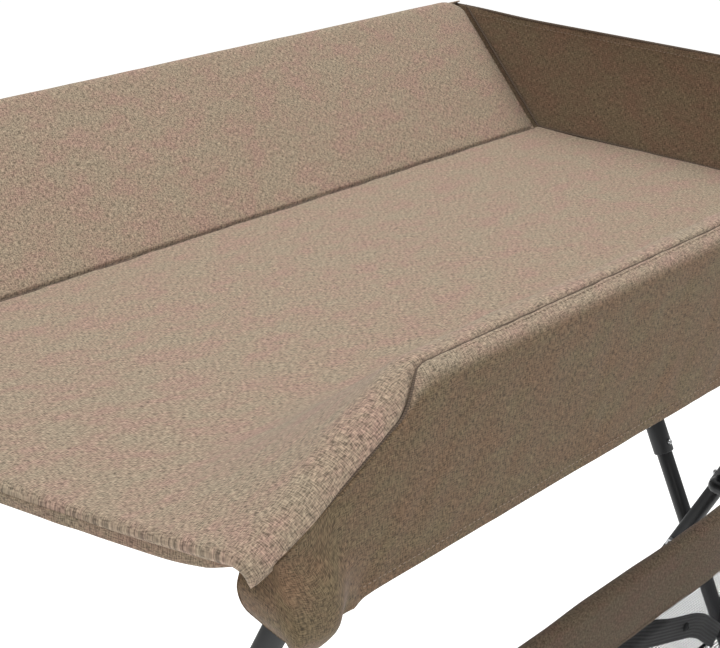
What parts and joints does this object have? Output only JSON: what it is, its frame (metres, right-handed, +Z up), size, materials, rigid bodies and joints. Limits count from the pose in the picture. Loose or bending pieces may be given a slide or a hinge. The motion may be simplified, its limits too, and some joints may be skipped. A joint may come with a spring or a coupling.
{
  "type": "changing table",
  "caption": "Folding changing table: a padded fabric tray with sloping sides on crossed tube legs, and a hanging mesh basket under it.",
  "frame": {"origin": "on the floor, under the middle of the object's outline", "axes": "+X along the tray towards the end with a wall, -Y the side the carer stands at, +Z up"},
  "size_m": [0.8245, 0.5864, 0.966],
  "materials": {
    "upholstery": "taupe melange weave, matt",
    "net": "black open mesh",
    "webbing": "black ribbed webbing",
    "steel": "black powder coat, satin",
    "plastic": "black moulded, fine texture",
    "zinc": "bright zinc plate",
    "rubber": "black, matt",
    "board": "pale grey sheet"
  },
  "bodies": {
    "rear_rail_frame": {"outer_leg_upper_tube_open_end": "steel", "outer_leg_upper_tube_wall_end": "steel", "outer_leg_lower_tube_open_end": "steel", "outer_leg_lower_tube_wall_end": "steel", "outer_leg_sleeve_open_end": "plastic", "outer_leg_sleeve_wall_end": "plastic", "outer_leg_rivet_open_end": "zinc", "outer_leg_rivet_wall_end": "zinc", "outer_leg_elbow_open_end": "plastic", "outer_leg_elbow_wall_end": "plastic", "outer_leg_foot_open_end": "rubber", "outer_leg_foot_wall_end": "rubber", "rear_rail": "steel", "front_crossbar": "steel", "pivot_bolt_open_end": "zinc", "pivot_bolt_wall_end": "zinc", "pivot_nut_open_end": "zinc", "pivot_nut_wall_end": "zinc", "pivot_spacer_open_end": "plastic", "pivot_spacer_wall_end": "plastic", "deck_pad": "upholstery", "rear_side_pad": "upholstery", "rear_side_board": "board", "rear_skirt": "upholstery", "end_wall": "upholstery"},
    "front_rail_frame": {"inner_leg_upper_tube_open_end": "steel", "inner_leg_upper_tube_wall_end": "steel", "inner_leg_lower_tube_open_end": "steel", "inner_leg_lower_tube_wall_end": "steel", "inner_leg_sleeve_open_end": "plastic", "inner_leg_sleeve_wall_end": "plastic", "inner_leg_rivet_open_end": "zinc", "inner_leg_rivet_wall_end": "zinc", "inner_leg_elbow_open_end": "plastic", "inner_leg_elbow_wall_end": "plastic", "inner_leg_foot_open_end": "rubber", "inner_leg_foot_wall_end": "rubber", "front_rail": "steel", "rear_crossbar": "steel", "front_side_pad": "upholstery", "front_side_board": "board", "front_skirt": "upholstery", "front_cuff_open_end": "upholstery", "front_cuff_wall_end": "upholstery", "basket_hoop": "steel", "basket_rear_tube": "steel", "basket_front_band": "upholstery", "basket_rear_band": "upholstery", "basket_front_net": "net", "basket_rear_net": "net", "basket_floor": "net", "basket_side_open_end": "net", "basket_side_wall_end": "net", "basket_strap_open_end": "webbing", "basket_strap_wall_end": "webbing"},
    "outer_leg_button_open_end": {"outer_leg_button_open_end": "zinc"},
    "outer_leg_button_wall_end": {"outer_leg_button_wall_end": "zinc"},
    "inner_leg_button_open_end": {"inner_leg_button_open_end": "zinc"},
    "inner_leg_button_wall_end": {"inner_leg_button_wall_end": "zinc"}
  },
  "joints": [
    {"name": "legs_fold", "type": "hinge", "parent": "rear_rail_frame", "child": "front_rail_frame", "pos_m": [0.0108, -0.0456, 0.465], "axis": [-1, 0, 0], "range_deg": [0, 34], "deforming": ["deck_pad", "end_wall"]},
    {"name": "outer_leg_snap_open_end", "type": "slide", "parent": "rear_rail_frame", "child": "outer_leg_button_open_end", "axis": [0, 0.8944, -0.4472], "range_m": [0, 0.003], "stiffness_N_per_m": 800},
    {"name": "outer_leg_snap_wall_end", "type": "slide", "parent": "rear_rail_frame", "child": "outer_leg_button_wall_end", "axis": [0, 0.8944, -0.4472], "range_m": [0, 0.003], "stiffness_N_per_m": 800},
    {"name": "inner_leg_snap_open_end", "type": "slide", "parent": "front_rail_frame", "child": "inner_leg_button_open_end", "axis": [0, -0.8944, -0.4472], "range_m": [0, 0.003], "stiffness_N_per_m": 800},
    {"name": "inner_leg_snap_wall_end", "type": "slide", "parent": "front_rail_frame", "child": "inner_leg_button_wall_end", "axis": [0, -0.8944, -0.4472], "range_m": [0, 0.003], "stiffness_N_per_m": 800}
  ]
}
